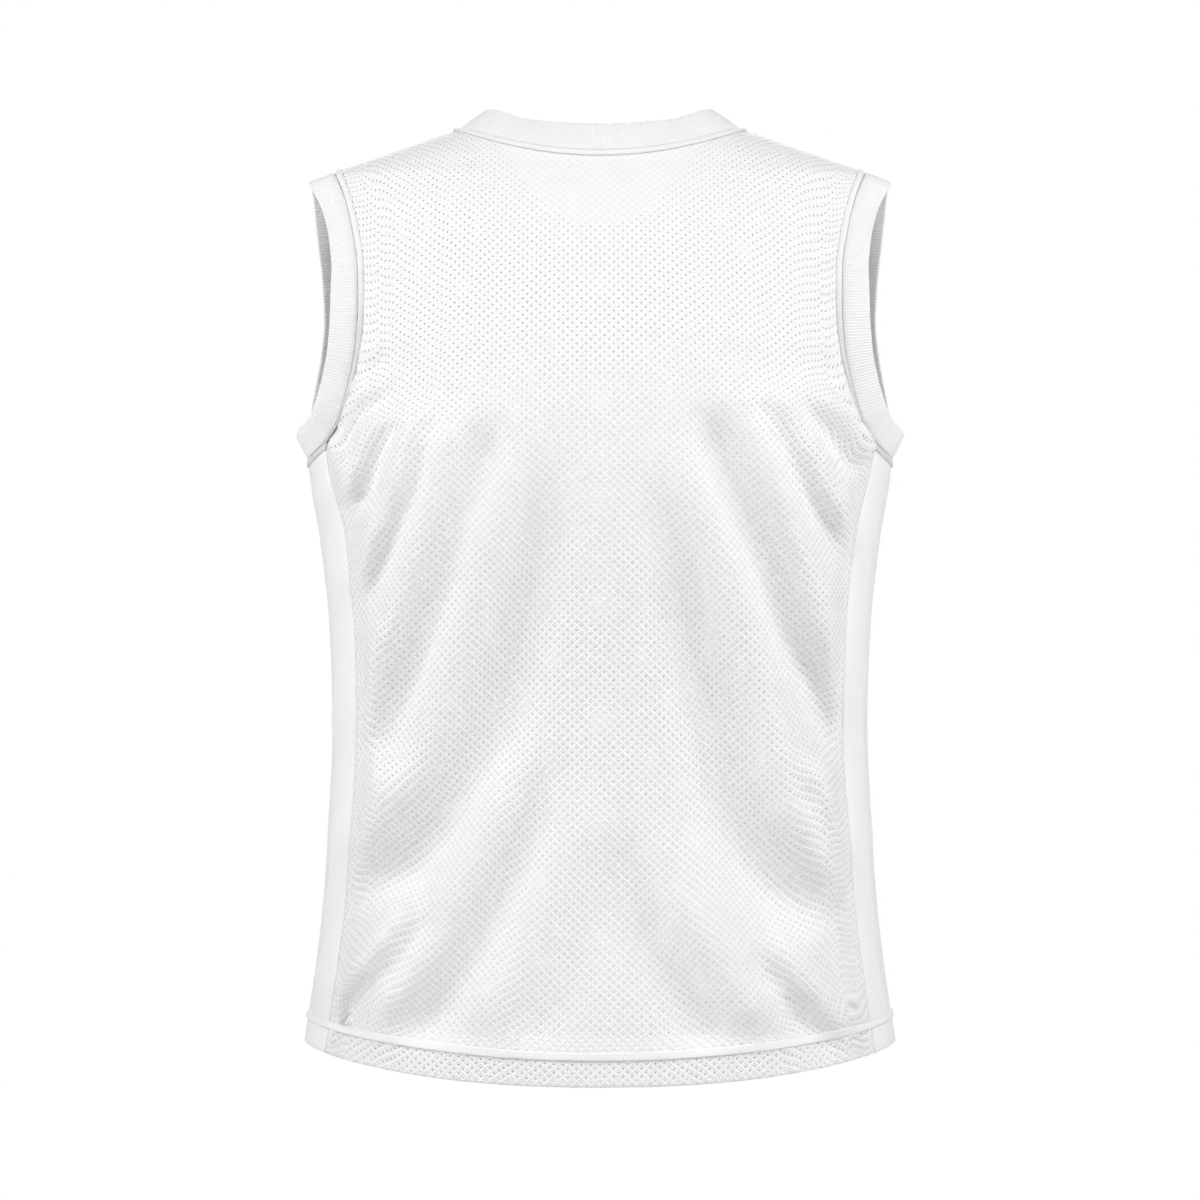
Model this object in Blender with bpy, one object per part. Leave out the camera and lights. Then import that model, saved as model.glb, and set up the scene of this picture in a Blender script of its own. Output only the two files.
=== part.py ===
"""Sleeveless mesh flag football jersey, filled out as when it is worn.

The wearer faces +Y and Z is up. The origin lies midway between the two points where the shoulder ridge
meets the neck seam, which is where the jersey hangs on its wearer. Lengths are in metres.
"""
import math

import bmesh
import bpy
import numpy as np

# Cloth
SEAM_GAP = 0.0003           # between the edges of two pieces that a seam joins
WALL = 0.0013               # knit, with the air in its mesh
RIB_WALL = 0.0024           # rib knit folded double
STRIP_WALL = 0.0008
STRIP_LIFT = 0.0007         # from a panel's outer face to the underside of a strip on it
BACK, FRONT = -1, 1         # which way along Y a piece faces
RIGHT, LEFT = 1, -1         # the wearer's right is +X

# Neck and shoulders
NECK_HALF_WIDTH = 0.1047
NECK_DROP = {BACK: 0.022, FRONT: 0.085}
NECK_CURVE = {BACK: 2.1, FRONT: 2.6}
TIP_HEIGHT = -0.0327        # shoulder ridge where the armhole seam crosses it
TIP_HALF_WIDTH = 0.198
COLLAR_WIDTH = 0.0250
COLLAR_LEAN = 0.28          # how far the collar stands off the shoulders at the sides of the neck

# Armholes and side seams
UNDERARM_HEIGHT = -0.236    # where the side seams meet the armhole
ARMHOLE_BOTTOM = -0.248
BAND_WIDTH = 0.0210

# Hem
HEM_SIDE = -0.682
HEM_DROP = {BACK: 0.0216, FRONT: 0.0106}
HEM_CURVE = 2.3
HEM_DEPTH = 0.024           # turned up inside
HEM_FOLD = 0.0030           # outer face to inner face of the turned-up hem
STRIP_WIDTH = {"collar": 0.0050, "armhole": 0.0050, "hem": 0.0060}
STRIP_INSET = 0.0006        # from a seam to the strip beside it

# Level sections of the filled-out body, from the neck down. Each is a superellipse.
SECTION_POWER = 2.2
SECTIONS = (
    # height, half width, back depth, front depth
    (0.0000, 0.1047, 0.050, 0.050),
    (-0.0220, 0.1675, 0.066, 0.062),
    (-0.0327, 0.1980, 0.072, 0.069),
    (-0.0365, 0.2058, 0.075, 0.071),
    (-0.0450, 0.2100, 0.080, 0.075),
    (-0.0565, 0.2110, 0.087, 0.080),
    (-0.0900, 0.2118, 0.100, 0.095),
    (-0.1300, 0.2105, 0.110, 0.108),
    (-0.1700, 0.2115, 0.117, 0.118),
    (-0.2100, 0.2145, 0.120, 0.122),
    (-0.2480, 0.2180, 0.120, 0.121),
    (-0.3100, 0.2093, 0.116, 0.116),
    (-0.3750, 0.2025, 0.110, 0.112),
    (-0.4400, 0.2003, 0.106, 0.112),
    (-0.5100, 0.2029, 0.107, 0.115),
    (-0.5800, 0.2076, 0.112, 0.120),
    (-0.6300, 0.2135, 0.117, 0.123),
    (-0.7100, 0.2260, 0.122, 0.126),
)

# Half width of the panels at the armhole seam, from the shoulder tip to the underarm.
ARMHOLES = (
    # height, back, front
    (-0.0327, 0.1980, 0.1980),
    (-0.0565, 0.1883, 0.1960),
    (-0.0800, 0.1823, 0.1945),
    (-0.1095, 0.1779, 0.1930),
    (-0.1370, 0.1775, 0.1928),
    (-0.1680, 0.1794, 0.1946),
    (-0.1940, 0.1846, 0.1978),
    (-0.2060, 0.1879, 0.1995),
    (-0.2220, 0.1932, 0.2012),
    (-0.2360, 0.2024, 0.2024),
)

# How far the armhole rib stands off the body, as the rise over the reach of its band.
BAND_FLARE = (
    # height of the seam, back, front
    (-0.0327, 0.02, 0.02),
    (-0.0400, 0.12, 0.45),
    (-0.0480, 0.14, 0.64),
    (-0.0700, 0.14, 0.55),
    (-0.1000, 0.30, 0.38),
    (-0.1400, 0.65, 0.28),
    (-0.1700, 0.65, 0.42),
    (-0.1950, 0.62, 0.65),
    (-0.2250, 0.78, 0.85),
    (-0.2400, 0.75, 0.85),
    (-0.2480, 0.50, 0.50),
)

# How far round the body the side seams lie, as a share of the half width.
SIDE_SEAMS = (
    # height, share
    (-0.236, 0.932),
    (-0.310, 0.892),
    (-0.440, 0.893),
    (-0.600, 0.909),
    (-0.682, 0.915),
    (-0.710, 0.918),
)

# The largest folds. Each hangs from the shoulder blade or chest and runs down and outwards. Cloth swells
# over its path's outer side and is drawn in along its inner side.
FOLDS = (
    # facing, slope, half width, path of (across, height) from the top
    (BACK, 0.58, 0.0185, ((-0.087, -0.207), (-0.103, -0.259), (-0.123, -0.331), (-0.149, -0.403),
                          (-0.181, -0.486))),
    (BACK, 0.55, 0.0220, ((-0.036, -0.201), (-0.054, -0.259), (-0.079, -0.367), (-0.099, -0.439),
                          (-0.136, -0.511), (-0.189, -0.580))),
    (BACK, 0.52, 0.0180, ((-0.036, -0.446), (-0.061, -0.511), (-0.094, -0.583), (-0.143, -0.656),
                          (-0.159, -0.680))),
    (BACK, 0.58, 0.0180, ((0.083, -0.199), (0.108, -0.259), (0.134, -0.331), (0.161, -0.403),
                          (0.189, -0.475))),
    (BACK, 0.52, 0.0220, ((0.029, -0.215), (0.047, -0.259), (0.074, -0.331), (0.094, -0.403),
                          (0.110, -0.475), (0.144, -0.547), (0.181, -0.589))),
    (BACK, 0.52, 0.0180, ((0.014, -0.504), (0.036, -0.547), (0.067, -0.620), (0.101, -0.680))),
    (FRONT, 0.52, 0.0190, ((-0.078, -0.200), (-0.092, -0.260), (-0.114, -0.330), (-0.160, -0.440),
                           (-0.188, -0.490))),
    (FRONT, 0.48, 0.0220, ((-0.030, -0.230), (-0.046, -0.300), (-0.066, -0.370), (-0.122, -0.510),
                           (-0.182, -0.572))),
    (FRONT, 0.52, 0.0190, ((0.082, -0.190), (0.098, -0.260), (0.118, -0.330), (0.165, -0.455),
                           (0.186, -0.500))),
    (FRONT, 0.48, 0.0220, ((0.034, -0.240), (0.052, -0.320), (0.068, -0.390), (0.132, -0.520),
                           (0.184, -0.570))),
)
FOLD_FADE = 0.060           # height over which a fold starts and dies away
EDGE_FADE = 0.030           # width beside a seam where the cloth lies smooth

# Fineness of the grids
NECK_STEPS = {BACK: 8, FRONT: 9}        # from the middle of the neck to the shoulder seam
SHOULDER_STEPS = 4
RIDGE_STEPS = (0.0006, 0.0025, 0.006, 0.012, 0.020)
ARMHOLE_STEPS = 8
BODY_STEPS = 10
BODY_FOOT = -0.640                      # height of the lowest row above the hem
SIDE_STEPS = 6
COLLAR_STRIP_STEPS = {BACK: 14, FRONT: 18}

# Finishes
WHITE_KNIT = (0.90, 0.90, 0.90, 1.0)
KNIT_ROUGHNESS = 0.75
RIB_ROUGHNESS = 0.85


class Curve:
    """Smooth curve through points in one direction, which never swings past them."""

    def __init__(self, at, value):
        order = np.argsort(at)
        self.at = np.array(at, float)[order]
        self.value = np.array(value, float)[order]
        step = np.diff(self.at)
        slope = np.diff(self.value) / step
        inner = [2 * a * b / (a + b) if a * b > 0 else 0.0 for a, b in zip(slope[:-1], slope[1:])]
        self.slope = np.array([slope[0], *inner, slope[-1]])

    def __call__(self, t):
        t = min(max(t, self.at[0]), self.at[-1])
        i = min(int(np.searchsorted(self.at, t, side="right")) - 1, len(self.at) - 2)
        step = self.at[i + 1] - self.at[i]
        s = (t - self.at[i]) / step
        return ((1 + 2 * s) * (1 - s) ** 2 * self.value[i] + s * (1 - s) ** 2 * step * self.slope[i]
                + s * s * (3 - 2 * s) * self.value[i + 1] + s * s * (s - 1) * step * self.slope[i + 1])

    def rate(self, t, reach=0.0005):
        low, high = max(t - reach, self.at[0]), min(t + reach, self.at[-1])
        return (self(high) - self(low)) / (high - low)


def column(table, index):
    return Curve([row[0] for row in table], [row[index] for row in table])


half_width = column(SECTIONS, 1)
depth = {BACK: column(SECTIONS, 2), FRONT: column(SECTIONS, 3)}
armhole_x = {BACK: column(ARMHOLES, 1), FRONT: column(ARMHOLES, 2)}
flare_at = {BACK: column(BAND_FLARE, 1), FRONT: column(BAND_FLARE, 2)}
seam_share = column(SIDE_SEAMS, 1)
ridge_heights = np.linspace(TIP_HEIGHT, 0.0, 200)
ridge_widths = np.array([half_width(z) for z in ridge_heights])


def smooth_step(t):
    t = min(max(t, 0.0), 1.0)
    return t * t * (3 - 2 * t)


# ---- the filled-out body -----------------------------------------------------------------------------

def body_y(x, z, facing):
    """Where the body's face lies over a point across and a height."""
    share = min(abs(x) / half_width(z), 1.0)
    return facing * depth[facing](z) * (1 - share ** SECTION_POWER) ** (1 / SECTION_POWER)


def body_normal(x, y, z):
    width, deep = half_width(z), depth[FRONT if y > 0 else BACK]
    across, along = abs(x) / width, abs(y) / deep(z)
    power = SECTION_POWER
    normal = np.array((
        math.copysign(across ** (power - 1) / width, x),
        math.copysign(along ** (power - 1) / deep(z), y),
        -(across ** power) / width * half_width.rate(z) - along ** power / deep(z) * deep.rate(z)))
    return normal / np.linalg.norm(normal)


def ridge_height(x):
    """Height of the shoulder ridge, which the shoulder seam follows."""
    return float(np.interp(abs(x), ridge_widths[::-1], ridge_heights[::-1]))


def top_height(x, facing):
    if abs(x) < NECK_HALF_WIDTH:
        return -NECK_DROP[facing] * (1 - (abs(x) / NECK_HALF_WIDTH) ** NECK_CURVE[facing])
    return ridge_height(x)


def hem_height(share, facing):
    return HEM_SIDE - HEM_DROP[facing] * (1 - abs(share) ** HEM_CURVE)


def edge_x(z, facing):
    """Half width of the front or back panel at a height on its edge."""
    if z >= UNDERARM_HEIGHT:
        return armhole_x[facing](z)
    return half_width(z) * seam_share(z)


def fold_height(x, z, facing):
    """How far the largest folds move the cloth out from the body."""
    total = 0.0
    for fold_facing, slope, spread, path in FOLDS:
        top, bottom = path[0][1], path[-1][1]
        if fold_facing != facing or not bottom < z < top:
            continue
        route = Curve([p[1] for p in path], [p[0] for p in path])
        lean = route.rate(z)
        inward = -math.copysign(1.0, path[-1][0])
        off = (x - route(z)) * inward / math.hypot(1.0, lean)
        fade = smooth_step((top - z) / FOLD_FADE) * smooth_step((z - bottom) / FOLD_FADE)
        total -= slope * fade * off * math.exp(-0.5 * (off / spread) ** 2)
    edge_room = edge_x(z, facing) - abs(x)
    hem_room = z - (HEM_SIDE - HEM_DROP[facing] + HEM_DEPTH)
    return total * smooth_step(edge_room / EDGE_FADE) * smooth_step(hem_room / EDGE_FADE)


# ---- panels: flat grids, given thickness, then laid on the body --------------------------------------

# Rows of the turned-up hem. The cloth comes down the outside, turns, and runs up again inside.
HEM_ROWS = (
    # height over the edge, depth inside the outer face, wall inwards, wall upwards
    (HEM_DEPTH, HEM_FOLD, -WALL, 0.0),
    (HEM_FOLD / 2, HEM_FOLD, -WALL, 0.0003),
    (0.0, HEM_FOLD / 2, 0.0, WALL),
    (HEM_FOLD / 2, 0.0, WALL, 0.0003),
    (HEM_DEPTH - STRIP_WIDTH["hem"], 0.0, WALL, 0.0),
    (HEM_DEPTH, 0.0, WALL, 0.0),
)


BODY_ROWS = list(np.linspace(BODY_FOOT, UNDERARM_HEIGHT, BODY_STEPS + 1))
ARMHOLE_ROWS = list(np.linspace(UNDERARM_HEIGHT, TIP_HEIGHT - RIDGE_STEPS[-1], ARMHOLE_STEPS + 1))[1:]
RIDGE_ROWS = [TIP_HEIGHT - drop for drop in reversed(RIDGE_STEPS[:-1])] + [TIP_HEIGHT]
UPPER_ROWS = BODY_ROWS + ARMHOLE_ROWS + RIDGE_ROWS      # heights on a panel's edge


def neck_point(x, facing):
    z = top_height(x, facing)
    return np.array((x, body_y(x, z, facing) if abs(x) < NECK_HALF_WIDTH - 1e-9 else 0.0, z))


def both_ways(half):
    return np.array([-x for x in reversed(half[1:])] + list(half))


def neck_columns(facing, steps):
    """Across from the middle, in even steps along the neck seam to the shoulder seam."""
    fine = NECK_HALF_WIDTH * np.sin(np.linspace(0, math.pi / 2, 400))
    points = [neck_point(x, facing) for x in fine]
    run = np.cumsum([0.0] + [np.linalg.norm(b - a) for a, b in zip(points, points[1:])])
    return np.interp(np.linspace(0, run[-1], steps + 1), run, fine)


def top_columns(facing):
    shoulder = np.linspace(NECK_HALF_WIDTH, TIP_HALF_WIDTH, SHOULDER_STEPS + 1)[1:]
    return both_ways([*neck_columns(facing, NECK_STEPS[facing]), *shoulder])


TOP_COLUMNS = {facing: top_columns(facing) for facing in (BACK, FRONT)}
COLUMNS = {facing: len(TOP_COLUMNS[facing]) - 1 for facing in (BACK, FRONT)}


def panel_point(i, edge_z, facing, edge_gap=0.0):
    """Across, height and side of the cloth where column i meets the row whose edge is at edge_z."""
    bottom = hem_height(seam_share(HEM_SIDE), facing)
    v = (edge_z - bottom) / (TIP_HEIGHT - bottom)
    even, top = 2 * i / COLUMNS[facing] - 1, TOP_COLUMNS[facing][i]
    x = (even + (top / TIP_HALF_WIDTH - even) * smooth_step(v)) * edge_x(edge_z, facing)
    low = hem_height(even * seam_share(HEM_SIDE), facing) - bottom
    high = top_height(top, facing) - TIP_HEIGHT
    z = edge_z + (1 - v) * low + v * high
    if i in (0, COLUMNS[facing]):
        x -= math.copysign(edge_gap, x)
    return x, z


def panel_place(i, edge_z, facing):
    """Point and outward direction on the outer face of a front or back panel."""
    x, z = panel_point(i, edge_z, facing, SEAM_GAP / 2)
    if edge_z == TIP_HEIGHT and abs(TOP_COLUMNS[facing][i]) >= NECK_HALF_WIDTH - 1e-9:
        y = facing * SEAM_GAP / 2
    else:
        y = body_y(x, z, facing)
    normal = body_normal(x, y, z)
    return np.array((x, y, z)) + fold_height(x, z, facing) * normal, normal


def side_place(j, edge_z, side, gap=SEAM_GAP / 2):
    """Point and outward direction on a side panel. Column j runs from the back seam to the front seam."""
    t = 2 * j / SIDE_STEPS - 1
    facing = BACK if t < 0 else FRONT
    hem_seam = {f: hem_height(seam_share(HEM_SIDE), f) for f in (BACK, FRONT)}
    seam_z = edge_z if edge_z >= BODY_FOOT else edge_z + (hem_seam[facing] - hem_seam[BACK])
    reach = abs(body_y(edge_x(seam_z, facing), seam_z, facing)) - gap
    y = t * reach
    v = (seam_z - hem_seam[facing]) / (UNDERARM_HEIGHT - hem_seam[facing])
    share = (1 - min(abs(y) / depth[facing](seam_z), 1) ** SECTION_POWER) ** (1 / SECTION_POWER)
    low = hem_height(share, facing) - hem_seam[facing]
    high = (ARMHOLE_BOTTOM - UNDERARM_HEIGHT) * (1 - abs(t) ** 2.4)
    z = seam_z + (1 - v) * low + v * high
    x = side * half_width(z) * (1 - (abs(y) / depth[facing](z)) ** SECTION_POWER) ** (1 / SECTION_POWER)
    return np.array((x, y, z)), body_normal(x, y, z)


def lay_grid(name, columns, rows, place):
    """Extrudes a flat grid into a sheet and lays each of its points with place(column, row, through)."""
    mesh = bmesh.new()
    bmesh.ops.create_grid(mesh, x_segments=columns, y_segments=rows, size=1.0)
    made = bmesh.ops.extrude_face_region(mesh, geom=mesh.faces[:], use_keep_orig=True)
    inner = {part for part in made["geom"] if isinstance(part, bmesh.types.BMVert)}
    for vert in mesh.verts:
        i = round((vert.co.x + 1) / 2 * columns)
        j = round((vert.co.y + 1) / 2 * rows)
        vert.co = place(i, j, vert in inner)
    return add_object(name, mesh)


def add_object(name, mesh):
    bmesh.ops.recalc_face_normals(mesh, faces=mesh.faces[:])
    if mesh.calc_volume(signed=True) < 0:
        bmesh.ops.reverse_faces(mesh, faces=mesh.faces[:])
    data = bpy.data.meshes.new(name)
    mesh.to_mesh(data)
    mesh.free()
    data.shade_smooth()
    data.set_sharp_from_angle(angle=math.radians(50))
    piece = bpy.data.objects.new(name, data)
    bpy.context.collection.objects.link(piece)
    return piece


def hem_place(place, bottom_z, row, through):
    """Point on one of the hem's rows, where place gives a point and direction for a height on the edge."""
    up, inside, wall_in, wall_up = row
    point, normal = place(bottom_z + up)
    point = point - normal * inside
    if through:
        point = point - normal * wall_in + np.array((0, 0, wall_up))
    return point


def make_panel(name, facing):
    bottom = hem_height(seam_share(HEM_SIDE), facing)

    def place(i, j, through):
        if j < len(HEM_ROWS):
            return hem_place(lambda z: panel_place(i, z, facing), bottom, HEM_ROWS[j], through)
        point, normal = panel_place(i, UPPER_ROWS[j - len(HEM_ROWS)], facing)
        return point - normal * WALL * through

    return lay_grid(name, COLUMNS[facing], len(HEM_ROWS) + len(UPPER_ROWS) - 1, place)


def make_side(name, side):
    bottom = hem_height(seam_share(HEM_SIDE), BACK)

    def place(i, j, through):
        if j < len(HEM_ROWS):
            return hem_place(lambda z: side_place(i, z, side), bottom, HEM_ROWS[j], through)
        point, normal = side_place(i, BODY_ROWS[j - len(HEM_ROWS)], side)
        return point - normal * WALL * through

    return lay_grid(name, SIDE_STEPS, len(HEM_ROWS) + len(BODY_ROWS) - 1, place)


# ---- rings: ribs and strips, sewn along a loop of the panels' own edge points ------------------------

def neck_loop(steps):
    """Neck seam: across the back one way and across the front the other."""
    loop = []
    for facing in (BACK, FRONT):
        across = both_ways(neck_columns(facing, steps[facing])) * -facing
        loop += [neck_point(x, facing) for x in across[:-1]]
    return loop


def armhole_loop(side):
    """Armhole seam: down the back from the shoulder tip, under the arm, and up the front."""
    tip = np.array((side * TIP_HALF_WIDTH, 0.0, TIP_HEIGHT))
    underarm = [side_place(i, UNDERARM_HEIGHT, side, gap=0.0)[0] for i in range(SIDE_STEPS + 1)]
    edge = {}
    for facing in (BACK, FRONT):
        across = [(side * armhole_x[facing](z), z) for z in (ARMHOLE_ROWS + RIDGE_ROWS)[:-1]]
        edge[facing] = [np.array((x, body_y(x, z, facing), z)) for x, z in across]
    return [tip, *edge[BACK][::-1], *underarm, *edge[FRONT]]


def loop_frames(loop):
    """For each point: itself, the way off the panel into the opening, and the way out from the body."""
    centre = sum(loop) / len(loop)
    frames = []
    for k, point in enumerate(loop):
        along = loop[(k + 1) % len(loop)] - loop[k - 1]
        normal = body_normal(*point)
        off = np.cross(normal, along)
        off *= math.copysign(1 / np.linalg.norm(off), off @ (centre - point))
        frames.append((point, off, normal))
    return frames


def make_ring(name, frames, profile, flare=lambda point: 0.0):
    """Spins a profile of (across, lift) points into a ring, then lays it along the loop."""
    mesh = bmesh.new()
    steps = len(frames)
    corners = [mesh.verts.new((1.0 + lift, 0.0, across)) for across, lift in profile]
    edges = [mesh.edges.new((corners[k - 1], corners[k])) for k in range(len(corners))]
    bmesh.ops.spin(mesh, geom=corners + edges, cent=(0, 0, 0), axis=(0, 0, 1), angle=math.tau,
                   steps=steps, use_merge=True, use_duplicate=False)
    for vert in mesh.verts:
        k = round(math.atan2(vert.co.y, vert.co.x) / math.tau * steps) % steps
        across, lift = vert.co.z, math.hypot(vert.co.x, vert.co.y) - 1.0
        point, off, normal = frames[k]
        lean = flare(point)
        reach = (off + lean * normal) / math.hypot(1.0, lean)
        rise = (normal - lean * off) / math.hypot(1.0, lean)
        vert.co = point + across * reach + lift * rise
    return add_object(name, mesh)


def rib_profile(width):
    """Folded rib: sewn edge, slightly full outer face, round fold, inner face."""
    fold = RIB_WALL / 2
    return ((SEAM_GAP, 0.0), (width * 0.5, 0.0004), (width - fold, 0.0), (width, -fold),
            (width - fold, -RIB_WALL), (SEAM_GAP, -RIB_WALL))


def strip_profile(width):
    low, high = STRIP_LIFT, STRIP_LIFT + STRIP_WALL
    near, far = -STRIP_INSET, -STRIP_INSET - width
    return ((near, low), (near, high), (far, high), (far, low))


def collar_lean(point):
    return COLLAR_LEAN * smooth_step((abs(point[0]) - 0.06) / (NECK_HALF_WIDTH - 0.06))


def band_flare(point):
    return flare_at[FRONT if point[1] > 0 else BACK](point[2])


def hem_frames():
    """The two edges of the hem strip, all round, from the panels' own points."""
    levels = [HEM_ROWS[-2][0], HEM_ROWS[-1][0]]
    ring = []
    bottom = {facing: hem_height(seam_share(HEM_SIDE), facing) for facing in (BACK, FRONT)}
    for i in range(COLUMNS[BACK] + 1):
        ring.append([panel_place(i, bottom[BACK] + up, BACK) for up in levels])
    for i in range(1, SIDE_STEPS):
        ring.append([side_place(i, bottom[BACK] + up, RIGHT) for up in levels])
    for i in range(COLUMNS[FRONT], -1, -1):
        ring.append([panel_place(i, bottom[FRONT] + up, FRONT) for up in levels])
    for i in range(SIDE_STEPS - 1, 0, -1):
        ring.append([side_place(i, bottom[BACK] + up, LEFT) for up in levels])
    return ring


def make_hem_strip(name):
    ring = hem_frames()
    steps = len(ring)
    mesh = bmesh.new()
    corners = [mesh.verts.new((1.0 + lift, 0.0, level)) for level, lift in ((0, 0), (0, 1), (1, 1), (1, 0))]
    edges = [mesh.edges.new((corners[k - 1], corners[k])) for k in range(len(corners))]
    bmesh.ops.spin(mesh, geom=corners + edges, cent=(0, 0, 0), axis=(0, 0, 1), angle=math.tau,
                   steps=steps, use_merge=True, use_duplicate=False)
    for vert in mesh.verts:
        k = round(math.atan2(vert.co.y, vert.co.x) / math.tau * steps) % steps
        point, normal = ring[k][round(vert.co.z)]
        outer = round(math.hypot(vert.co.x, vert.co.y)) > 1
        vert.co = point + normal * (STRIP_LIFT + STRIP_WALL * outer)
    return add_object(name, mesh)


# ---- finishes ----------------------------------------------------------------------------------------

def finish(name, color, roughness):
    material = bpy.data.materials.new(name)
    material.use_nodes = True
    shader = material.node_tree.nodes["Principled BSDF"]
    shader.inputs["Base Color"].default_value = color
    shader.inputs["Roughness"].default_value = roughness
    shader.inputs["Metallic"].default_value = 0.0
    return material


def build():
    for piece in list(bpy.data.objects):
        bpy.data.objects.remove(piece, do_unlink=True)
    mesh_knit = finish("mesh_knit", WHITE_KNIT, KNIT_ROUGHNESS)
    plain_knit = finish("plain_knit", WHITE_KNIT, KNIT_ROUGHNESS)
    rib_knit = finish("rib_knit", WHITE_KNIT, RIB_ROUGHNESS)

    for name, facing in (("back_panel", BACK), ("front_panel", FRONT)):
        make_panel(name, facing).data.materials.append(mesh_knit)

    neck = loop_frames(neck_loop(NECK_STEPS))
    collar = make_ring("collar_rib", neck, rib_profile(COLLAR_WIDTH), collar_lean)
    collar.data.materials.append(rib_knit)
    fine_neck = loop_frames(neck_loop(COLLAR_STRIP_STEPS))
    collar_strip = make_ring("collar_strip", fine_neck, strip_profile(STRIP_WIDTH["collar"]))
    collar_strip.data.materials.append(plain_knit)

    for word, side in (("left", LEFT), ("right", RIGHT)):
        make_side(f"side_panel_{word}", side).data.materials.append(plain_knit)
        armhole = loop_frames(armhole_loop(side))
        band = make_ring(f"armhole_rib_{word}", armhole, rib_profile(BAND_WIDTH), band_flare)
        band.data.materials.append(rib_knit)
        strip = make_ring(f"armhole_strip_{word}", armhole, strip_profile(STRIP_WIDTH["armhole"]))
        strip.data.materials.append(plain_knit)

    make_hem_strip("hem_strip").data.materials.append(plain_knit)


build()
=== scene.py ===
import math

import bmesh
import bpy
import numpy as np
from mathutils import Matrix, Vector
from mathutils.bvhtree import BVHTree


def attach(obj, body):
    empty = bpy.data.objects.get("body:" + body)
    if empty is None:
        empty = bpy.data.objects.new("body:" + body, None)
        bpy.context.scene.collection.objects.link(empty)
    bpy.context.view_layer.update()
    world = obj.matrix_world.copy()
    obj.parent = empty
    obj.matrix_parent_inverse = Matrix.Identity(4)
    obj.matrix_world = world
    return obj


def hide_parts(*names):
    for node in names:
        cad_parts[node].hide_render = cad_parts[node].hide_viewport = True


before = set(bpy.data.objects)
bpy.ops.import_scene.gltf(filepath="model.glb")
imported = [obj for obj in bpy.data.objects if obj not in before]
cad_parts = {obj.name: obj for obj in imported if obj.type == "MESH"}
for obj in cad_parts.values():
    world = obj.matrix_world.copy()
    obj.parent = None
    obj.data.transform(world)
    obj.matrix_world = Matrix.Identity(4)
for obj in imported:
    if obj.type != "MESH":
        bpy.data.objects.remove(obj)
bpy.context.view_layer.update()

back, front = -1, 1     # which way along Y a piece faces
left, right = -1, 1     # the wearer's left is -X
seam = {
    "gap": 0.0003,      # between two pieces that are sewn together
    "edge": 0.0015,     # width of a panel's rolled edge
    "sunk": 0.0008,     # depth of that edge
    "lip": 0.0018,      # depth of the cloth turned in behind it
}

# The filled-out body, as level superellipses
body = {
    "power": 2.2,
    "sections": (
        # height, half width, back depth, front depth
        (0.0000, 0.1047, 0.050, 0.050),
        (-0.0220, 0.1675, 0.066, 0.062),
        (-0.0327, 0.1980, 0.072, 0.069),
        (-0.0365, 0.2058, 0.075, 0.071),
        (-0.0450, 0.2100, 0.080, 0.075),
        (-0.0565, 0.2110, 0.087, 0.080),
        (-0.0900, 0.2118, 0.100, 0.095),
        (-0.1300, 0.2105, 0.110, 0.108),
        (-0.1700, 0.2115, 0.117, 0.118),
        (-0.2100, 0.2145, 0.120, 0.122),
        (-0.2480, 0.2180, 0.120, 0.121),
        (-0.3100, 0.2093, 0.116, 0.116),
        (-0.3750, 0.2025, 0.110, 0.112),
        (-0.4400, 0.2003, 0.106, 0.112),
        (-0.5100, 0.2029, 0.107, 0.115),
        (-0.5800, 0.2076, 0.112, 0.120),
        (-0.6300, 0.2135, 0.117, 0.123),
        (-0.7100, 0.2260, 0.122, 0.126),
    ),
}
neck = {
    "halfWidth": 0.1047,
    "drop": {back: 0.022, front: 0.085},
    "bend": {back: 2.1, front: 2.6},
    "cornerShare": 0.56,        # share of a panel's columns that end on the neck seam
}
armhole = {
    "tipWidth": 0.198,
    "tipHeight": -0.0327,
    "underarm": -0.236,         # where the side seams end
    "bottom": -0.248,
    "edges": (
        # height, half width of the back, of the front
        (-0.0327, 0.1980, 0.1980),
        (-0.0565, 0.1883, 0.1960),
        (-0.0800, 0.1823, 0.1945),
        (-0.1095, 0.1779, 0.1930),
        (-0.1370, 0.1775, 0.1928),
        (-0.1680, 0.1794, 0.1946),
        (-0.1940, 0.1846, 0.1978),
        (-0.2060, 0.1879, 0.1995),
        (-0.2220, 0.1932, 0.2012),
        (-0.2360, 0.2024, 0.2024),
    ),
}
sideSeam = (
    # height, share of the body's half width
    (-0.236, 0.932),
    (-0.310, 0.892),
    (-0.440, 0.893),
    (-0.600, 0.909),
    (-0.682, 0.915),
    (-0.710, 0.918),
)
hem = {
    "sideHeight": -0.682,
    "drop": {back: 0.0216, front: 0.0106},
    "bend": 2.3,
    "depth": 0.024,             # turned up inside
    "fold": 0.0030,             # outer face to the turned-up layer
}
hemHalf = hem["fold"] / 2
hemBend = hemHalf * (1 - math.sqrt(0.5))
hemTurn = (
    # depth inside the outer face, height over the hem's edge
    (hemBend, hemBend),
    (hemHalf, 0.0),
    (hem["fold"] - hemBend, hemBend),
    (hem["fold"], hemHalf),
    (hem["fold"], 0.008),
    (hem["fold"], 0.016),
    (hem["fold"], hem["depth"]),
)
sides = ((left, "left"), (right, "right"))


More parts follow.
